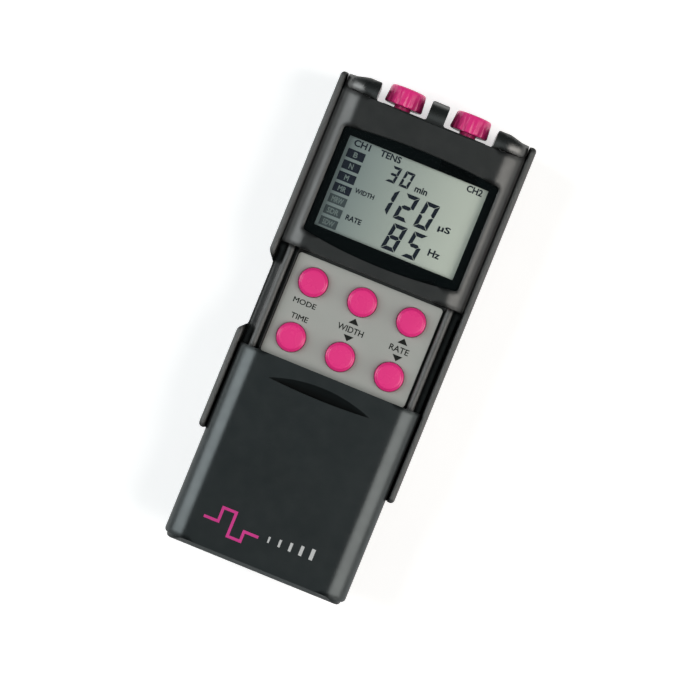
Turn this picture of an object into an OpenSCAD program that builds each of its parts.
// Two-channel handheld nerve stimulator (TENS unit), lying on its back.
// X runs across the front to the right, Y along the body towards the knobs, Z out of the front.
// The origin is the centre of the housing's rear face. The battery cover is slid part way down.

/* [Housing] */
// Width over the two side wings
body_w = 60.6; // [60.2:0.1:61.4]
// Length of the housing, without the knobs and the cover
body_h = 110; // [110:0.5:112]
// Thickness from the rear face to the flat front
body_t = 24; // [24:0.1:24.6]
// Height of the seam between the rear and front shells
split_z = 10; // [9.8:0.1:10.2]
// General wall thickness of the mouldings
wall = 1.8; // [1.6:0.1:1.9]
// Half width of the flat front, where the shoulders begin
flat_x = 22.15; // [22:0.05:22.3]
// Radius of the rounded shoulders
shoulder_r = 8.3; // [8.2:0.1:8.6]
// Depth of the finger notch in the left wing
notch_d = 2.2; // [1.8:0.1:2.3]

/* [Display and keys] */
// Sideways offset of the display and the key panel from the middle
face_x = 0.35; // [0:0.05:0.4]
// Visible width of the liquid crystal display
view_w = 42.8; // [42:0.1:43.2]
// Visible height of the liquid crystal display
view_h = 27.5; // [27:0.1:28]
// Diameter of a push button
button_d = 8.5; // [8.3:0.1:8.6]
// Travel of a push button
button_travel = 0.8; // [0.6:0.1:0.8]
// Distance between button columns
button_pitch = 15.2; // [15:0.1:15.4]
// Distance between the two button rows
row_pitch = 16.95; // [16.8:0.05:17.1]

/* [Knobs and sockets] */
// Distance of each knob from the middle
knob_x = 10.15; // [10:0.05:10.3]
// Largest diameter of a knob
knob_d = 11.5; // [11:0.1:11.6]
// Number of grip flutes round a knob
knob_flutes = 13; // [12:1:16]
// Radius of the plug hole in an output socket
socket_r = 1.8; // [1.75:0.05:1.85]

/* [Cover and battery] */
// Half width of the sliding cover
cover_x = 27.9; // [27.8:0.05:28]
// Length of the sliding cover's flat front
cover_len = 58.4; // [58:0.1:58.6]
// How far the cover stands open
cover_open = 31.2; // [31:0.1:31.3]
// Length of the battery, across the body
battery_l = 45; // [44:0.5:45]

/* [Belt clip] */
// Width of the clip's blade
clip_w = 20; // [18:1:22]
// Gap left for a belt
belt_gap = 4.9; // [4.8:0.1:5]
// Radius of the clip's hinge pin
pin_r = 1; // [0.9:0.05:1]

/* [Hidden] */
$fn = 64;
eps = 0.01;
gap = 0.15;
far = 100;
half_w = body_w / 2;
half_h = body_h / 2;
plan_r = 1.2;

// Shoulders: an arc that leaves the flat front with a crease
crease = 10;
shoulder_x = flat_x - shoulder_r * sin(crease);
shoulder_z = body_t - shoulder_r * cos(crease);
wing_in = 28.5;
valley_x = 28;
valley_z = 18.6;
wing_r = (half_w - wing_in) / 2;
wing_z = 19.6;
cavity_x = 26.4;

// Levels through the thickness
board_z = 9.6;
board_t = 1.6;
board_top = board_z + board_t;
deck_z = 15.8;
panel_z = 17.2;
panel_top = 18.6;
ridge_z = 19.9;
window_z = 22.35;
window_top = 23.2;
glass_z = 18.7;
glass_t = 2;

// Levels along the body
ledge_y = 3.2;
panel_y0 = -28.4;
panel_y1 = 2.3;
bay_y0 = -54.15;
bay_y1 = -28.4;
bay_x = 24.75;
seam_y = 50;
seam_rise = 845;
seam_gap = 0.3;
floor_y = 50.6;
cap_x = 28.2;

// Rails
slot_in = 25.7;
slot_out = 28.4;
slot_z = 12;
ridge_in = 23.4;
rail_z = 13.2;
rail_t = 1;
rail_in = 27.55;

// Display
view_y0 = 11;
glass_w = 46;
glass_h = 31;
glass_y0 = 9.2;
window_hw = 24;
window_y = 24.4;

// Keys
button_r = button_d / 2;
button_x = [for (i = [-1 : 1]) 0.2 + i * button_pitch];
button_y1 = -4.6;
button_y2 = button_y1 - row_pitch;
button_top = 20.8;
switch_w = 6;
switch_t = 3.4;
plunger_r = 1.7;

// Knobs, potentiometers and sockets
knob_r = knob_d / 2;
knob_z = 15.2;
knob_y0 = 51.9;
knob_y1 = 57.4;
shaft_r = 2;
socket_z = 5.7;
socket_y = 50.3;
socket_depth = 11;
nozzle_r = 3.8;

// Screws
boss_x = 24.2;
boss_top_y = 44.8;
boss_low_y = -25;
board_post_x = 18.6;
board_low_x = [-7.4, 7.8];
board_low_y = -13;

// Parts under the board
core_y = 8;
buzzer_y = -17;

// Battery and cover
battery_y = -41.2;
battery_z = 11.65;
battery_w = 25.5;
battery_h = 16.5;
battery_x0 = -24.5;
lead_x = 21.2;
lead_r = 0.45;
cover_y1 = ledge_y - 0.2 - cover_open;
cover_y0 = cover_y1 - cover_len;
grip_x = -1;

// Clip
clip_y = 18;
clip_z = -3.2;
blade_z = -6.6;
blade_t = blade_z + belt_gap;
blade_y0 = -32;
blade_y1 = 31;

// Points of an arc round (cx, cy) from angle a0 to a1
function arc(cx, cy, r, a0, a1, n) =
    [for (i = [0 : n]) let (a = a0 + (a1 - a0) * i / n) [cx + r * cos(a), cy + r * sin(a)]];

// Height of the cap's seam at a distance x from the middle
function seam(x) = seam_y + x * x / seam_rise;

// Smooth step from 0 to 1
function ease(t) = (1 - cos(180 * t)) / 2;

// Extrudes an x-z outline along Y
module along_y(y0, y1) {
    translate([0, y1, 0]) rotate([90, 0, 0]) linear_extrude(y1 - y0) children();
}

// Extrudes an x-y outline from z0 to z1
module along_z(z0, z1) {
    translate([0, 0, z0]) linear_extrude(z1 - z0) children();
}

module block(x0, x1, y0, y1, z0, z1) {
    translate([x0, y0, z0]) cube([x1 - x0, y1 - y0, z1 - z0]);
}

// Box centred on x and y
module slab(cx, cy, w, h, z0, z1) {
    block(cx - w / 2, cx + w / 2, cy - h / 2, cy + h / 2, z0, z1);
}

module rounded(x0, x1, y0, y1, r) {
    polygon(concat(arc(x1 - r, y1 - r, r, 0, 90, 6), arc(x0 + r, y1 - r, r, 90, 180, 6),
        arc(x0 + r, y0 + r, r, 180, 270, 6), arc(x1 - r, y0 + r, r, 270, 360, 6)));
}

// The front's cross-section, flat in the middle with rounded shoulders
module crown(hw, low, inset = 0) {
    r = shoulder_r - inset;
    intersection() {
        translate([-hw, low]) square([2 * hw, body_t - inset - low]);
        union() {
            translate([-shoulder_x, low]) square([2 * shoulder_x, body_t - low]);
            translate([-shoulder_x - r, low]) square([2 * (shoulder_x + r), shoulder_z - low]);
            for (s = [-1, 1]) translate([s * shoulder_x, shoulder_z]) circle(r = r, $fn = 128);
        }
    }
}

// Both wings, rounded along their front edge
module wings(low) {
    for (s = [-1, 1]) {
        translate([s * (wing_in + wing_r), wing_z]) circle(r = wing_r, $fn = 48);
        translate([s * (wing_in + wing_r) - wing_r, low]) square([2 * wing_r, wing_z - low]);
        translate([s * (valley_x + wing_in) / 2 - 0.3, low]) square([0.6, valley_z - low]);
    }
}

// Area of the left wing taken away by the finger notch
module notch(extra = 0) {
    x = -half_w + notch_d + extra;
    out = -half_w - 1;
    n = 8;
    polygon(concat([[out, 0.3 + extra]],
        [for (i = [0 : n]) [-half_w + (notch_d + extra) * ease(i / n), 0.3 + extra - 4.3 * i / n]],
        [for (i = [0 : n]) [x - (notch_d + extra) * ease(i / n), -22 - 3.3 * i / n - extra]],
        [[out, -25.3 - extra]]));
}

// Area of the top cap, above its seam
module cap_area(inset, top) {
    hw = cap_x - inset;
    n = 12;
    polygon(concat(
        [for (i = [0 : n]) let (x = (hw - 2.2) * (2 * i / n - 1)) [x, seam(x) + inset]],
        arc(hw - 2.2, seam(hw - 2.2) + inset + 2.2, 2.2, -80, 0, 7),
        [[hw, top], [-hw, top]],
        arc(-hw + 2.2, seam(hw - 2.2) + inset + 2.2, 2.2, 180, 260, 7)));
}

// Outline of the display window, arched along its top and bottom
module window_area(grow = 0) {
    n = 16;
    r = 1.1;
    hw = window_hw + grow;
    k = 1 - r / hw;
    top = window_y + 17.7 + grow - 1.5 * k * k;
    low = window_y - 18 - grow + 2 * k * k;
    polygon(concat(
        arc(face_x - hw + r, top - r, r, 180, 96, 5),
        [for (i = [0 : n]) let (u = k * (2 * i / n - 1))
            [face_x + hw * u, window_y + 17.7 + grow - 1.5 * u * u]],
        arc(face_x + hw - r, top - r, r, 84, 0, 5),
        arc(face_x + hw - r, low + r, r, 0, -82, 5),
        [for (i = [0 : n]) let (u = k * (1 - 2 * i / n))
            [face_x + hw * u, window_y - 18 - grow + 2 * u * u]],
        arc(face_x - hw + r, low + r, r, 262, 180, 5)));
}

module bosses(r, z0, z1) {
    for (x = [-boss_x, boss_x], y = [boss_low_y, boss_top_y])
        translate([x, y, z0]) cylinder(r = r, h = z1 - z0);
}

module board_holes(r, z0, z1) {
    for (x = [-board_post_x, board_post_x]) translate([x, boss_top_y, z0]) cylinder(r = r, h = z1 - z0);
    for (x = board_low_x) translate([x, board_low_y, z0]) cylinder(r = r, h = z1 - z0);
}

// Front shell: display front, key deck, side wings and the cover's rails
module front_housing() {
    color([0.24, 0.235, 0.23])
    difference() {
        union() {
            front_skin();
            bosses(2.4, split_z, deck_z);
            board_holes(1.9, board_top, deck_z);
            for (x = [-board_post_x, board_post_x])
                translate([x, boss_top_y, board_top]) cylinder(r = 1.9, h = 22.3 - board_top);
            along_z(20.9, window_z - gap) window_area(0.7);
        }
        along_z(window_z - gap, far) window_area();
        slab(face_x, window_y + 0.35, view_w + 1, view_h + 1, 20, far);
        bosses(1.15, split_z - eps, 14.6);
        board_holes(0.95, board_top - eps, 15);
        for (s = [-1, 1]) translate([s * (slot_in + slot_out) / 2, 0])
            block((slot_in - slot_out) / 2, (slot_out - slot_in) / 2, -60, ledge_y, slot_z, far);
        for (x = button_x, y = [button_y1, button_y2])
            translate([x, y, deck_z - 1]) cylinder(r = 5.2, h = 4);
        along_z(0, far) cap_area(0, 60);
        along_z(0, far) notch();
    }
    color([0.24, 0.235, 0.23])
    difference() {
        for (s = [-1, 1]) translate([s * (rail_in + wing_in) / 2, 0])
            block((rail_in - wing_in) / 2, (wing_in - rail_in) / 2, -54.6, 1, rail_z, rail_z + rail_t);
        along_z(0, far) notch();
    }
}

module front_skin() {
    difference() {
        intersection() {
            along_y(-half_h, half_h) {
                crown(valley_x, split_z);
                wings(split_z);
            }
            along_z(0, far) rounded(-half_w, half_w, -half_h, half_h, plan_r);
        }
        along_y(ledge_y + wall, half_h + 1) crown(cavity_x, split_z - 1, wall);
        along_y(-60, ledge_y) translate([-slot_out, ridge_z]) square([2 * slot_out, far]);
        slab(face_x, -13, 45.2, 2 * 16.2, panel_z, far);
        for (s = [-1, 1]) translate([s * 22.9, 0]) block(-0.5, 0.5, bay_y1 - 1, ledge_y, panel_z, far);
        along_y(bay_y1 - 1, ledge_y) ridge_cut();
        block(-22.6, 22.6, bay_y1 + 1, ledge_y + wall, split_z - 1, deck_z);
        block(-bay_x, bay_x, bay_y0, bay_y1, split_z - 1, far);
    }
}

// What is cut away round each ridge beside the keys, to leave a rounded top
module ridge_cut() {
    r = (slot_in - ridge_in) / 2;
    for (s = [-1, 1]) translate([s * (ridge_in + r), ridge_z - r]) difference() {
        translate([-r - eps, 0]) square([2 * (r + eps), far]);
        circle(r = r, $fn = 48);
    }
}

// Rear shell: a tray with screw bosses and the battery bay's floor
module rear_housing() {
    color([0.2, 0.195, 0.19])
    difference() {
        union() {
            difference() {
                rear_block();
                difference() {
                    along_z(wall, far) rounded(-28.3, 28.3, bay_y0, 60, 1);
                    along_z(0, far) notch(1.8);
                    bay_walls();
                }
            }
            bosses(3, eps, 9.3);
            for (x = [-6.5, 6.5]) translate([x, 23.5, eps]) cylinder(r = 2.2, h = 5);
        }
        bosses(2.3, -1, 3);
        bosses(1.25, -1, far);
        for (x = [-6.5, 6.5]) translate([x, 23.5, -1]) cylinder(r = 0.95, h = 5);
        along_z(-1, far) cap_area(0, 60);
        along_z(-1, far) notch();
        block(-20.2, 20.2, -50.2, -37.8, -1, 0.2);
    }
}

module rear_block() {
    top = split_z - 0.1;
    intersection() {
        along_y(-half_h, half_h) polygon([[-half_w, top], [half_w, top], [half_w, 1.6],
            [half_w - 0.45, 0.45], [half_w - 1.6, 0], [-half_w + 1.6, 0],
            [-half_w + 0.45, 0.45], [-half_w, 1.6]]);
        along_z(-1, far) rounded(-half_w, half_w, -half_h, half_h, plan_r);
    }
}

module bay_walls() {
    difference() {
        block(-far, far, bay_y1, bay_y1 + 0.8, 0, 9.3);
        block(lead_x - 1.5, lead_x + 1.5, bay_y1 - 1, bay_y1 + 2, 3.6, far);
    }
    for (s = [-1, 1]) translate([s * 25.2, 0]) block(-0.4, 0.4, -55, -28, 0, 9.3);
}

// End cap with guards between which the knobs turn
module top_cap() {
    color([0.17, 0.17, 0.17])
    difference() {
        union() {
            intersection() {
                along_z(0, far) difference() {
                    cap_outline();
                    for (s = [-1, 1]) translate([s * 10.325 - 7.675, 0])
                        rounded(0, 15.35, floor_y, 60, 0.7);
                }
                along_y(seam_y - 1, 60) crown(cap_x - gap, 0);
                rotate([90, 0, 90]) translate([0, 0, -far / 2]) linear_extrude(far)
                    polygon(concat([[40, 0]], arc(55.1, 1.8, 1.8, -90, 0, 6),
                        arc(53.1, body_t - 3.8, 3.8, 0, 90, 10), [[40, body_t]]));
            }
            along_y(47.8, floor_y) crown(25.8, 2.1, 2);
        }
        for (x = [-knob_x, knob_x]) {
            translate([x, 40, knob_z]) rotate([-90, 0, 0]) cylinder(r = shaft_r + 0.3, h = 20);
            translate([x, 40, socket_z]) rotate([-90, 0, 0]) cylinder(r = nozzle_r + 0.1, h = 20);
        }
    }
}

// Outline of the cap with its three guards
module cap_outline() {
    intersection() {
        cap_area(seam_gap, 57);
        polygon(concat([[-30, 49], [30, 49], [30, 55]], arc(25.6, 56.6, 1.6, -90, -106, 2),
            arc(21.6, 54.4, 1.5, 74, 90, 2), arc(18.5, 55.4, 0.5, 90, 180, 4),
            [[17.99, 51], [2.66, 51]], arc(1.95, 56.2, 0.7, 0, 90, 5),
            arc(-1.95, 56.2, 0.7, 90, 180, 5), [[-2.66, 51], [-17.99, 51]],
            arc(-18.5, 55.4, 0.5, 0, 90, 4), arc(-21.6, 54.4, 1.5, 90, 106, 2),
            arc(-25.6, 56.6, 1.6, -74, -90, 2), [[-30, 55]]));
    }
}

module lcd_window() {
    color([0.85, 0.88, 0.86, 0.35]) along_z(window_z, window_top) window_area(-0.12);
}

// Black border printed behind the window
module lcd_mask() {
    color([0.03, 0.035, 0.035])
    difference() {
        along_z(window_z - gap, window_z) window_area(-0.12);
        slab(face_x, view_y0 + view_h / 2, view_w, view_h, 20, far);
    }
}

module lcd_glass() {
    color([0.72, 0.76, 0.7])
    slab(face_x, glass_y0 + glass_h / 2, glass_w, glass_h, glass_z, glass_z + glass_t);
}

// Holder that presses the display on to the board
module lcd_frame() {
    cy = glass_y0 + glass_h / 2;
    color([0.85, 0.85, 0.83])
    difference() {
        slab(face_x, cy, glass_w + 2.4, glass_h + 2.4, board_top, glass_z + glass_t - 0.1);
        slab(face_x, cy, glass_w + 0.2, glass_h + 0.2, glass_z, far);
        slab(face_x, cy, 41, 22, 0, far);
        for (s = [-1, 1]) slab(face_x, cy + s * 14, 40, 2.2, 0, far);
        for (s = [-1, 1]) slab(s * boss_x, cy, 7, far, 0, deck_z);
    }
}

// Rubber strips that connect the display with the board
module contact_strips() {
    color([0.9, 0.55, 0.6])
    for (s = [-1, 1]) slab(face_x, glass_y0 + glass_h / 2 + s * 14, 39.6, 2, board_top, glass_z);
}

module button_panel() {
    color([0.62, 0.63, 0.6])
    difference() {
        along_z(panel_z, panel_top)
            rounded(face_x - 22.35, face_x + 22.35, panel_y0, panel_y1, 1);
        for (x = button_x, y = [button_y1, button_y2])
            translate([x, y, 0]) cylinder(r = button_r + 0.12, h = far);
    }
}

// One key cap with a flange that the panel holds down
module key_cap(x, y) {
    crown_k = 70;
    color([0.88, 0.2, 0.54])
    translate([x, y, 0]) rotate_extrude()
        polygon(concat([[0, 15.1], [1.4, 15.1], [1.4, 18.6], [3.4, 18.6], [3.4, 15.9],
            [4.9, 15.9], [4.9, 16.9], [button_r, 16.9], [button_r, 19.6]],
            arc(button_r - 0.6, 19.65, 0.6, 15, 75, 4),
            [for (i = [6 : -1 : 0]) let (r = i * 0.58) [r, button_top - r * r / crown_k]]));
}

module key_plunger(x, y) {
    color([0.1, 0.1, 0.1]) translate([x, y, 14]) cylinder(r = plunger_r, h = 1.1);
}

module mode_button() { key_cap(button_x[0], button_y1); }
module time_button() { key_cap(button_x[0], button_y2); }
module width_up_button() { key_cap(button_x[1], button_y1); }
module width_down_button() { key_cap(button_x[1], button_y2); }
module rate_up_button() { key_cap(button_x[2], button_y1); }
module rate_down_button() { key_cap(button_x[2], button_y2); }
module mode_plunger() { key_plunger(button_x[0], button_y1); }
module time_plunger() { key_plunger(button_x[0], button_y2); }
module width_up_plunger() { key_plunger(button_x[1], button_y1); }
module width_down_plunger() { key_plunger(button_x[1], button_y2); }
module rate_up_plunger() { key_plunger(button_x[2], button_y1); }
module rate_down_plunger() { key_plunger(button_x[2], button_y2); }

// Bodies of the six push switches
module key_switches() {
    color([0.25, 0.25, 0.26])
    for (x = button_x, y = [button_y1, button_y2])
        difference() {
            slab(x, y, switch_w, switch_w, board_top, board_top + switch_t);
            translate([x, y, 12.8]) cylinder(r = plunger_r + 0.08, h = 4);
        }
}

// Snap domes that give the keys their click
module switch_domes() {
    color([0.8, 0.8, 0.8])
    for (x = button_x, y = [button_y1, button_y2])
        translate([x, y, 12.8]) cylinder(r1 = 1.6, r2 = 0.9, h = 0.3);
}

module main_board() {
    color([0.1, 0.35, 0.2])
    difference() {
        block(-20.8, 20.8, -26.4, 47.4, board_z, board_top);
        board_holes(1.15, 0, far);
    }
}

// Screw with a cross recess, driven towards +Z
module screw(x, y, head_z, head_r, head_h, r, len) {
    translate([x, y, head_z]) difference() {
        union() {
            cylinder(r = head_r, h = head_h);
            cylinder(r = r, h = head_h + len);
        }
        for (a = [0, 90]) rotate([0, 0, a]) slab(0, 0, 1.5 * head_r, 0.5, -1, 0.8);
    }
}

module board_screws() {
    color([0.7, 0.7, 0.7]) {
        for (x = [-board_post_x, board_post_x]) screw(x, boss_top_y, 8.4, 1.7, 1.2, 0.85, 5);
        for (x = board_low_x) screw(x, board_low_y, 8.4, 1.7, 1.2, 0.85, 5);
    }
}

module housing_screws() {
    color([0.6, 0.6, 0.6])
    for (x = [-boss_x, boss_x], y = [boss_low_y, boss_top_y]) screw(x, y, 1.2, 2, 1.8, 1.1, 11);
}

// Fluted knob, drawn along Z and laid along Y
module knob(x) {
    h = knob_y1 - knob_y0;
    top_r = knob_r - 0.4;
    flute_r = 1.5;
    color([0.88, 0.2, 0.54])
    translate([x, knob_y0, knob_z]) rotate([-90, 0, 0])
    difference() {
        rotate_extrude($fn = 96)
            polygon(concat([[0, -1.1], [2.5, -1.1], [2.5, 0]], arc(knob_r - 0.6, 0.6, 0.6, -90, 0, 5),
                arc(top_r - 0.9, h - 0.9, 0.9, 5, 90, 6), [[0, h]]));
        for (i = [0 : knob_flutes - 1]) rotate([0, 0, i * 360 / knob_flutes])
            translate([knob_r + flute_r - 0.3, 0, -0.5]) rotate([0, -2, 0])
                cylinder(r = flute_r, h = h + 1, $fn = 32);
        translate([0, 0, -2]) cylinder(r = shaft_r + 0.02, h = 6.5);
    }
}

module knob_ch1() { knob(-knob_x); }
module knob_ch2() { knob(knob_x); }

module knob_shaft(x) {
    color([0.75, 0.75, 0.76])
    translate([x, 43.2, knob_z]) rotate([-90, 0, 0]) cylinder(r = shaft_r, h = 13);
}

module knob_shaft_ch1() { knob_shaft(-knob_x); }
module knob_shaft_ch2() { knob_shaft(knob_x); }

module potentiometer(x) {
    color([0.2, 0.35, 0.55])
    difference() {
        slab(x, 44.75, 9.4, 4.9, board_top, 19.2);
        translate([x, 43, knob_z]) rotate([-90, 0, 0]) cylinder(r = shaft_r + 0.05, h = 10);
    }
}

module potentiometer_ch1() { potentiometer(-knob_x); }
module potentiometer_ch2() { potentiometer(knob_x); }

// Output socket with a round hole for a lead's plug
module output_socket(x) {
    color([0.08, 0.08, 0.08])
    difference() {
        union() {
            slab(x, 41.7, 8.6, 11.8, 2.1, 9.3);
            translate([x, 47, socket_z]) rotate([-90, 0, 0]) cylinder(r = nozzle_r, h = socket_y - 47);
        }
        translate([x, socket_y - socket_depth, socket_z]) rotate([-90, 0, 0])
            cylinder(r = socket_r, h = far);
    }
}

module output_socket_ch1() { output_socket(-knob_x); }
module output_socket_ch2() { output_socket(knob_x); }

// Laminated cores of the two pulse transformers
module transformer_cores() {
    color([0.3, 0.3, 0.32])
    for (x = [-11, 11]) {
        for (s = [-1, 1]) slab(x + s * 5.4, core_y, 1.6, 11, 2.2, 9.3);
        slab(x, core_y, 3, 11, 3.8, 7.7);
        for (s = [-1, 1]) slab(x, core_y + s * 6.3, 12.4, 1.6, 2.2, 9.3);
    }
}

module transformer_coils() {
    color([0.75, 0.45, 0.2])
    for (x = [-11, 11])
        difference() {
            slab(x, core_y, 9, 10.6, 2.4, 9.1);
            slab(x, core_y, 3.1, 12, 3.7, 7.8);
        }
}

module microcontroller() {
    color([0.06, 0.06, 0.06]) slab(face_x, 25, 12, 12, board_top, board_top + 1.5);
}

module capacitors() {
    color([0.12, 0.14, 0.3])
    for (p = [[-15.5, 22], [-15.5, 28.5], [15.5, 22]])
        translate([p[0], p[1], 2.4]) cylinder(r = 2.6, h = board_z - 2.4);
}

module crystal() {
    color([0.8, 0.8, 0.78]) {
        slab(0, 30, 6.4, 3.6, 6.2, board_z);
        for (s = [-1, 1]) translate([s * 3.2, 30, 6.2]) cylinder(r = 1.8, h = board_z - 6.2);
    }
}

module buzzer() {
    color([0.07, 0.07, 0.07])
    difference() {
        translate([0, buzzer_y, 3.6]) cylinder(r = 6, h = board_z - 3.6);
        translate([0, buzzer_y, 2]) cylinder(r = 1, h = 4);
    }
}

// Nine volt battery, lying across the body
module battery_case() {
    color([0.55, 0.56, 0.58])
    translate([battery_x0, battery_y, battery_z]) rotate([90, 0, 90]) linear_extrude(battery_l)
        rounded(-battery_w / 2, battery_w / 2, -battery_h / 2, battery_h / 2, 2.6);
}

module battery_terminals() {
    x = battery_x0 + battery_l;
    color([0.82, 0.82, 0.8]) {
        translate([x, battery_y - 6.35, battery_z]) rotate([0, 90, 0]) cylinder(r = 2.85, h = 2.3);
        translate([x, battery_y + 6.35, battery_z]) rotate([0, 90, 0]) difference() {
            cylinder(r = 4, h = 2.3, $fn = 6);
            translate([0, 0, 0.6]) cylinder(r = 2.9, h = 3);
        }
    }
}

module contact_plate() {
    color([0.12, 0.12, 0.12])
    block(23.5, 24.65, battery_y - 11.5, battery_y + 11.5, 3, 19.2);
}

// Snap contacts that meet the battery's terminals
module contact_snaps() {
    x = battery_x0 + battery_l + 2.3;
    color([0.82, 0.82, 0.8])
    for (s = [-1, 1]) translate([x, battery_y + s * 6.35, battery_z]) rotate([0, 90, 0])
        cylinder(r = 2.4, h = 23.5 - x);
}

// Wire on a smooth curve, from the contact plate through the bay's wall up to the board
module lead(z, x_end) {
    a = [23.4, -31.2, z];
    b = [lead_x + 1, -31.2, z];
    c = [lead_x - 0.2, -27, z + 0.3];
    d = [x_end, -24.4, board_z - 0.25];
    n = 16;
    tube([for (i = [0 : n]) let (t = i / n, u = 1 - t)
        u * u * u * a + 3 * u * u * t * b + 3 * u * t * t * c + t * t * t * d], lead_r, 8);
}

module battery_lead_red() { color([0.75, 0.1, 0.08]) lead(5, 19.4); }
module battery_lead_black() { color([0.05, 0.05, 0.05]) lead(7, 17.6); }

module battery_foam() {
    color([0.3, 0.3, 0.32]) slab(-2, battery_y, 40, 22, wall, battery_z - battery_h / 2);
}

// Sliding cover over the keys and the battery, with a thumb grip and an end wall
module sliding_cover() {
    color([0.2, 0.21, 0.215])
    difference() {
        union() {
            intersection() {
                along_y(cover_y0, cover_y1) difference() {
                    crown(cover_x, slot_z + 0.4);
                    crown(cover_x - 1.5, 0, wall);
                }
                along_z(0, far) rounded(-cover_x, cover_x, cover_y0, cover_y1 + 2, plan_r);
            }
            intersection() {
                along_y(cover_y0 - 1.2, cover_y0 + 0.2) crown(26.9, split_z + 0.3, 1.2);
                along_z(0, far) rounded(-26.9, 26.9, cover_y0 - 1.2, cover_y0 + 5, 1.15);
                rotate([90, 0, 90]) translate([0, 0, -far / 2]) linear_extrude(far)
                    polygon([[cover_y0 - 1.2, 0], [cover_y0 + 1, 0], [cover_y0 + 1, body_t],
                        [cover_y0 - 0.05, body_t - 1.2], [cover_y0 - 1.2, body_t - 2.5]]);
            }
            along_z(button_top + 0.3, body_t - 1) translate([grip_x, cover_y1 - 5.5])
                rounded(-17.5, 17.5, -3.3, 3.5, 2);
        }
        thumb_grip();
        for (s = [-1, 1]) translate([s * (cover_x + 1), 0])
            block(-1.55, 1.55, -90, 0, rail_z - 0.2, rail_z + rail_t + 0.2);
    }
}

// Hollow of the thumb grip: a ramp that sinks towards an upright wall
module thumb_grip() {
    slope = 30;
    ramp_r = 85;
    wall_r = 190;
    intersection() {
        translate([grip_x, cover_y1 - 3.5, body_t]) rotate([90 + slope, 0, 0])
            translate([0, ramp_r, -20]) cylinder(r = ramp_r, h = 60, $fn = 256);
        translate([grip_x, cover_y1 - 7.1 + wall_r, body_t - 2.4])
            cylinder(r = wall_r, h = 5, $fn = 256);
    }
}

// Bracket on the rear face with two hinge ears
module clip_base() {
    color([0.15, 0.15, 0.15])
    difference() {
        union() {
            block(-9, 9, 13, 26.5, -1.2, 0);
            for (s = [-1, 1]) translate([s * 8.1, clip_y, clip_z]) {
                rotate([0, 90, 0]) translate([0, 0, -0.9]) cylinder(r = 1.6, h = 1.8);
                block(-0.9, 0.9, -1.6, 1.6, 0, 2.1);
            }
        }
        translate([-20, clip_y, clip_z]) rotate([0, 90, 0]) cylinder(r = pin_r + 0.02, h = 40);
        for (x = [-6.5, 6.5]) translate([x, 23.5, -2]) cylinder(r = 1.1, h = 4);
    }
}

// Clip lever: blade, thumb tab and hinge barrels
module belt_clip() {
    color([0.15, 0.15, 0.15])
    difference() {
        union() {
            along_z(blade_z, blade_t - 3.3)
                rounded(-clip_w / 2, clip_w / 2, blade_y0, blade_y1, 3);
            for (s = [-1, 1]) translate([s * 5.05, clip_y, clip_z]) {
                rotate([0, 90, 0]) translate([0, 0, -1.85]) cylinder(r = 1.6, h = 3.7);
                block(-1.85, 1.85, -1.3, 1.3, blade_z - clip_z + 1, 0);
            }
            rotate([90, 0, 90]) translate([0, 0, -clip_w / 2 + 3]) linear_extrude(clip_w - 6)
                polygon([[blade_y0, blade_z], [blade_y0 + 3.5, blade_z], [blade_y0 + 2.6, -1.4],
                    [blade_y0 + 1.4, -0.8], [blade_y0 + 0.3, -1.4]]);
        }
        translate([-20, clip_y, clip_z]) rotate([0, 90, 0]) cylinder(r = pin_r + 0.05, h = 40);
        slab(0, clip_y, 6.4, 5.4, -10, 0);
        for (i = [0 : 3]) translate([0, 23.5 + 1.9 * i, blade_z]) rotate([0, 90, 0])
            translate([0, 0, -7]) cylinder(r = 0.4, h = 14, $fn = 16);
    }
}

module clip_pin() {
    color([0.75, 0.75, 0.76])
    translate([-9.3, clip_y, clip_z]) rotate([0, 90, 0]) cylinder(r = pin_r, h = 18.6);
}

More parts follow.
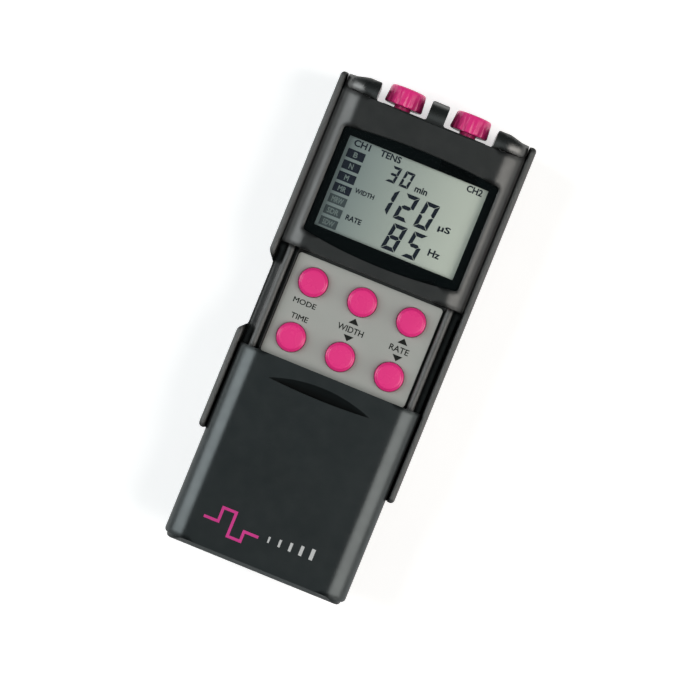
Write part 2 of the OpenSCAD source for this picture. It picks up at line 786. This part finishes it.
// Torsion spring: coils round the pin and two legs that push the tab outwards
module clip_spring() {
    turns = 4.4;
    wire_r = 0.2;
    coil_r = 1.3;
    steps = 88;
    leg = 5.4;
    coil = [for (i = [0 : steps]) let (a = 270 + 360 * turns * i / steps)
        [-2.2 + 4.4 * i / steps, clip_y + coil_r * cos(a), clip_z + coil_r * sin(a)]];
    last = coil[steps];
    route = concat([[coil[0][0], coil[0][1] + leg, coil[0][2]]], coil,
        [last + leg * [0, 0.94, 0.12]]);
    color([0.8, 0.8, 0.8]) tube(route, wire_r, 8);
}

// Round tube along a list of points
module tube(path, r, sides) {
    last = len(path) - 1;
    ways = [for (i = [0 : last]) unit(path[min(i + 1, last)] - path[max(i - 1, 0)])];
    rings = [for (i = [0 : last]) ring(path[i], ways[i], r, sides)];
    points = [for (k = rings) each k];
    walls = [for (i = [0 : last - 1], j = [0 : sides - 1]) let (k = (j + 1) % sides)
        [i * sides + j, i * sides + k, (i + 1) * sides + k, (i + 1) * sides + j]];
    ends = [[for (j = [sides - 1 : -1 : 0]) j], [for (j = [0 : sides - 1]) last * sides + j]];
    polyhedron(points, concat(walls, ends), convexity = 4);
}

function unit(v) = v / norm(v);

function ring(p, way, r, sides) =
    let (u = unit(cross([1, 0, 0.001], way)), w = cross(way, u))
    [for (j = [0 : sides - 1]) let (a = -360 * j / sides) p + r * (cos(a) * u + sin(a) * w)];

module clip_screws() {
    color([0.6, 0.6, 0.6])
    for (x = [-6.5, 6.5]) screw(x, 23.5, -2.1, 1.7, 0.9, 0.9, 4.8);
}

// Blank label in a shallow recess
module rating_label() {
    color([0.75, 0.75, 0.74]) block(-20, 20, -50, -38, 0.04, 0.2);
}

front_housing();
rear_housing();
top_cap();
lcd_window();
lcd_mask();
lcd_glass();
lcd_frame();
contact_strips();
button_panel();
mode_button();
time_button();
width_up_button();
width_down_button();
rate_up_button();
rate_down_button();
mode_plunger();
time_plunger();
width_up_plunger();
width_down_plunger();
rate_up_plunger();
rate_down_plunger();
key_switches();
switch_domes();
main_board();
board_screws();
housing_screws();
knob_ch1();
knob_ch2();
knob_shaft_ch1();
knob_shaft_ch2();
potentiometer_ch1();
potentiometer_ch2();
output_socket_ch1();
output_socket_ch2();
transformer_cores();
transformer_coils();
microcontroller();
capacitors();
crystal();
buzzer();
battery_case();
battery_terminals();
contact_plate();
contact_snaps();
battery_lead_red();
battery_lead_black();
battery_foam();
sliding_cover();
clip_base();
belt_clip();
clip_pin();
clip_spring();
clip_screws();
rating_label();
